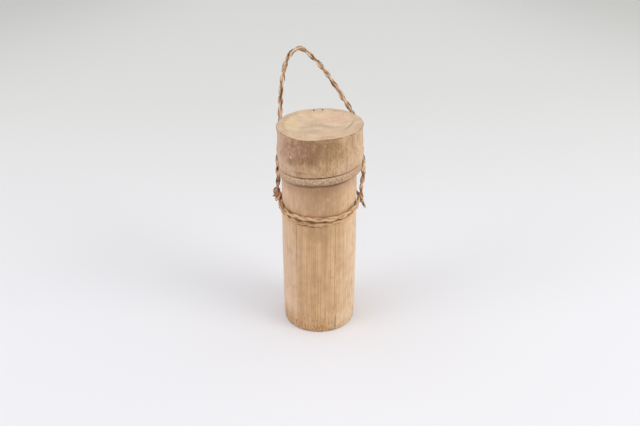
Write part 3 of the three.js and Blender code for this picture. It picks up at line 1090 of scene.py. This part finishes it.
dish_height = lid_top - 0.003
dish_finish, tree, shader = new_finish("node_wall", 0.75)
place = put(tree, "TexCoord").outputs["Object"]
ragged = grain(tree, place, (140, 140, 140), 5, shift=9)
clouds = grain(tree, place, (60, 90, 60), 4)
crumbs = grain(tree, place, (640, 640, 640), 4, shift=4)
pits = grain(tree, place, (380, 380, 380), 4, shift=8)
colour = laid(tree, paint("d4b694"), clouds, 0.35, 0.65, 1, "e3c8ab")
for x, y, wide, deep, strength, code in (
    (-0.008, -0.012, 0.015, 0.009, 0.55, "bfa58d"),
    (0.008, -0.018, 0.014, 0.008, 0.5, "e2ba9b"),
    (0.018, 0.022, 0.02, 0.012, 0.5, "e0b899"),
):
    spot = stain(tree, place, (x, y, dish_height), (wide, deep, 0.02), ragged, 0.9)
    colour = tint(tree, times(tree, spot, strength), colour, paint(code))
# painted light on the dish's left wall
lit_left_wall = stain(tree, place, (-0.036, 0.01, dish_height), (0.016, 0.026, 0.02), ragged)
colour = tint(tree, times(tree, lit_left_wall, 0.55), colour, paint("dcc399"))
# painted shade in an arch across the middle of the dish
from_arch = distance(tree, place, (-0.003, -0.008, dish_height), (0.017, 0.015, 0.1))
from_arch = plus(tree, from_arch, swing(tree, ragged, 1.1))
depth = put(tree, "SeparateXYZ", {0: place}).outputs["Y"]
shaded_arch = times(tree, band(tree, from_arch, 0.65, 1.2, 0.3), stretch(tree, depth, -0.012, 0.003))
colour = tint(tree, times(tree, shaded_arch, 0.6), colour, paint("b5a08a"))
# painted shade on the dish's right wall, in a crescent
flat = put(tree, "VectorMath", {0: place, 1: (1, 1, 0)}, operation="MULTIPLY").outputs[0]
from_left = put(tree, "VectorMath", {0: flat, 1: (0.006, 0.012, 0)}, operation="DISTANCE")
from_left = plus(tree, from_left.outputs["Value"], swing(tree, ragged, 0.004))
right_side = stain(tree, place, (0.0335, -0.005, dish_height), (0.01, 0.011, 0.02), ragged)
shaded_crescent = times(tree, band(tree, from_left, 0.0308, 0.0338, 0.0016), right_side)
colour = tint(tree, times(tree, shaded_crescent, 0.6), colour, paint("9a7c62"))
colour = coats(tree, colour, (
    (crumbs, 0.42, 0.32, 0.5, "b08f6e"),
    (crumbs, 0.58, 0.7, 0.5, "f0dcc2"),
    (pits, 0.36, 0.3, 0.6, "a07c5c"),
))
dress(tree, shader, colour, crumbs, 0.00025)

rim_bamboo = cut_finish("cut_rim", "dfc2a0", "cdae90")
lid_shell = turned_shell(lid_profile, lid_columns, lid_skin)
lid_finishes = (lid_finish, rim_bamboo, inner_bamboo, collar_finish, dish_finish)
lid = bamboo_piece("cap_lid", lid_shell, lid_finishes)
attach(lid, "lid")
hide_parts("lid")

# Studio
# A wide pale sheet of paper to stand on, and a broad soft lamp high on each side.
floor_mesh = bpy.data.meshes.new("floor")
floor_mesh.from_pydata([(-8, -8, 0), (8, -8, 0), (8, 8, 0), (-8, 8, 0)], [], [(0, 1, 2, 3)])
floor = placed("floor", floor_mesh)
floor_finish, tree, shader = new_finish("paper", 0.9)
axes = put(tree, "SeparateXYZ", {0: put(tree, "TexCoord").outputs["Object"]}).outputs
# painted shade: the paper darker towards the back and in its back corners
corner = times(tree, calc(tree, "ABSOLUTE", axes["X"]), axes["Y"])
colour = coats(tree, paint("eeedef"), (
    (axes["Y"], -0.1, 0.9, 1, "e3e2de"), (corner, 0.3, 1.6, 1, "d0cfca"),
))
tree.links.new(colour, shader.inputs["Base Color"])
floor_mesh.materials.append(floor_finish)

sky_light = 0.61
world = bpy.data.worlds.new("studio")
world.use_nodes = True
tree = world.node_tree
across = put(tree, "SeparateXYZ", {0: put(tree, "TexCoord").outputs["Generated"]}).outputs["X"]
sideways = calc(tree, "POWER", calc(tree, "ABSOLUTE", across), 1.5)
strength = plus(tree, sky_light, times(tree, sideways, sky_light))
tree.links.new(strength, tree.nodes["Background"].inputs["Strength"])
sky = tint(tree, stretch(tree, across, 0, -0.8), (1, 1, 1, 1), (1.02, 1.05, 1.14, 1))
tree.links.new(sky, tree.nodes["Background"].inputs["Color"])
bpy.context.scene.world = world


def lamp(name, place, aim, size, power):
    data = bpy.data.lights.new(name, "AREA")
    data.shape = "DISK"
    data.size = size
    data.energy = power
    made = bpy.data.objects.new(name, data)
    made.location = place
    ray = np.array(aim) - np.array(place)
    tilt = math.atan2(math.hypot(ray[0], ray[1]), -ray[2])
    made.rotation_euler = (tilt, 0, math.atan2(ray[1], ray[0]) - math.pi / 2)
    bpy.context.scene.collection.objects.link(made)


lamp("left_lamp", (-1.9, -0.9, 1.3), (0, 0, 0.15), 1.4, 10.5)
lamp("right_lamp", (1.9, -0.9, 1.3), (0, 0, 0.15), 1.4, 18)
